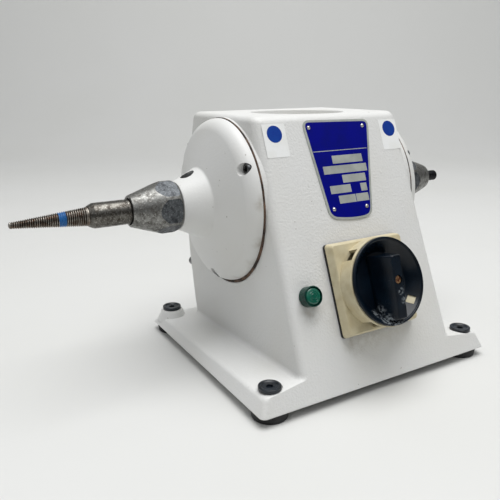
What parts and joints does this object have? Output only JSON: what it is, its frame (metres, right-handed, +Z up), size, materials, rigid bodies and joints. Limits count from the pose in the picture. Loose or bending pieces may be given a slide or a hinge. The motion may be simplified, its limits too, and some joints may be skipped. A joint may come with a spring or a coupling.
{
  "type": "dental polishing lathe",
  "caption": "Bench polishing lathe: a double-ended motor in a leaning cast housing, with collet nuts, a taper spindle, a plain arbor, a rotary switch and a pilot lamp.",
  "frame": {"origin": "bottom centre of the box round the whole part, on the plane of the feet", "axes": "+X along the shaft to the right as seen by the person at the front, +Y away from that person, +Z up"},
  "size_m": [0.3766, 0.197, 0.1857],
  "materials": {
    "white_paint": "textured",
    "machined_steel": "satin",
    "bright_steel": "satin",
    "black_oxide_steel": "satin",
    "brown_sealant": "matte",
    "black_plastic": "gloss",
    "ivory_plastic": "satin",
    "grey_plastic": "satin",
    "green_lens": "gloss",
    "black_rubber": "matte",
    "electrical_steel": "satin",
    "copper_winding": "satin",
    "cast_aluminium": "satin",
    "brass": "worn"
  },
  "bodies": {
    "base": {"housing": "white_paint", "rear_cover": "white_paint", "left_end_bell": "white_paint", "right_end_bell": "white_paint", "bottom_plate_screw_1": "bright_steel", "bottom_plate_screw_2": "bright_steel", "bottom_plate_screw_3": "bright_steel", "bottom_plate_screw_4": "bright_steel", "left_bearing_outer_ring": "bright_steel", "right_bearing_outer_ring": "bright_steel", "rear_cover_screw_1": "black_oxide_steel", "rear_cover_screw_2": "black_oxide_steel", "rear_cover_screw_3": "black_oxide_steel", "rear_cover_screw_4": "black_oxide_steel", "left_bell_screw_1": "black_oxide_steel", "left_bell_screw_2": "black_oxide_steel", "left_bell_screw_3": "black_oxide_steel", "right_bell_screw_1": "black_oxide_steel", "right_bell_screw_2": "black_oxide_steel", "right_bell_screw_3": "black_oxide_steel", "left_seal": "brown_sealant", "right_seal": "brown_sealant", "foot_screw_1": "black_plastic", "foot_screw_2": "black_plastic", "foot_screw_3": "black_plastic", "foot_screw_4": "black_plastic", "pilot_lamp_holder": "black_plastic", "cable_gland": "black_plastic", "switch_plate": "ivory_plastic", "terminal_block": "ivory_plastic", "switch_body": "grey_plastic", "pilot_lamp_lens": "green_lens", "foot_1": "black_rubber", "foot_2": "black_rubber", "foot_3": "black_rubber", "foot_4": "black_rubber", "switch_gasket": "black_rubber", "stator_core": "electrical_steel", "left_winding": "copper_winding", "right_winding": "copper_winding", "bottom_plate": "cast_aluminium", "capacitor": "cast_aluminium"},
    "rotor": {"rotor_shaft": "machined_steel", "rotor_core": "cast_aluminium", "taper_spindle": "machined_steel", "plain_arbor": "black_oxide_steel", "left_bearing_inner_ring": "bright_steel", "left_spindle_nose": "bright_steel", "left_collet_nut": "machined_steel", "left_collet": "black_oxide_steel", "right_bearing_inner_ring": "bright_steel", "right_spindle_nose": "bright_steel", "right_collet_nut": "machined_steel", "right_collet": "black_oxide_steel"},
    "left_cage": {"left_bearing_balls": "bright_steel"},
    "right_cage": {"right_bearing_balls": "bright_steel"},
    "switch": {"switch_handle": "black_plastic", "handle_screw": "brass", "switch_stem": "bright_steel"}
  },
  "joints": [
    {"name": "rotor_spin", "type": "hinge", "parent": "base", "child": "rotor", "pos_m": [0.0308, 0.02709, 0.1224], "axis": [1, 0, 0], "continuous": true},
    {"name": "left_cage_spin", "type": "hinge", "parent": "base", "child": "left_cage", "pos_m": [-0.0515, 0.02709, 0.1224], "axis": [1, 0, 0], "continuous": true},
    {"name": "right_cage_spin", "type": "hinge", "parent": "base", "child": "right_cage", "pos_m": [0.1131, 0.02709, 0.1224], "axis": [1, 0, 0], "continuous": true},
    {"name": "switch_turn", "type": "hinge", "parent": "base", "child": "switch", "pos_m": [0.0323, -0.0624, 0.0698], "axis": [0, -0.9257, 0.3783], "range_deg": [-60, 60]}
  ],
  "couplings": [
    {"joint": "left_cage_spin", "follows": "rotor_spin", "ratio": 0.41197},
    {"joint": "right_cage_spin", "follows": "rotor_spin", "ratio": 0.41197}
  ]
}
